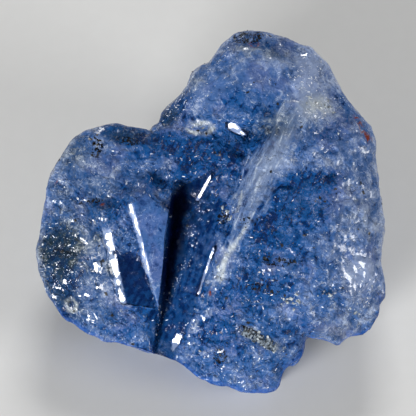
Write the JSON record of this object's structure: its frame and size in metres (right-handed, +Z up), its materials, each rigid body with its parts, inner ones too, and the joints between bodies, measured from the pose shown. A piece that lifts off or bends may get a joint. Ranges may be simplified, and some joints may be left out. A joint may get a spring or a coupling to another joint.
{
  "type": "tanzanite crystal",
  "caption": "Rough natural blue crystal, etched and see-through in places, with a grooved and stepped face, that rests on a flat cleavage face.",
  "frame": {"origin": "on the floor, under the middle of the crystal's box", "axes": "+Z up, out of the resting face; the broad grooved face leans back and looks towards -Y and up"},
  "size_m": [0.024, 0.0234, 0.0155],
  "materials": {
    "tanzanite": "glassy where it is freshly broken and frosted where it is etched, with light passing through its clear places"
  },
  "bodies": {
    "root": {"crystal": "tanzanite"}
  },
  "joints": []
}
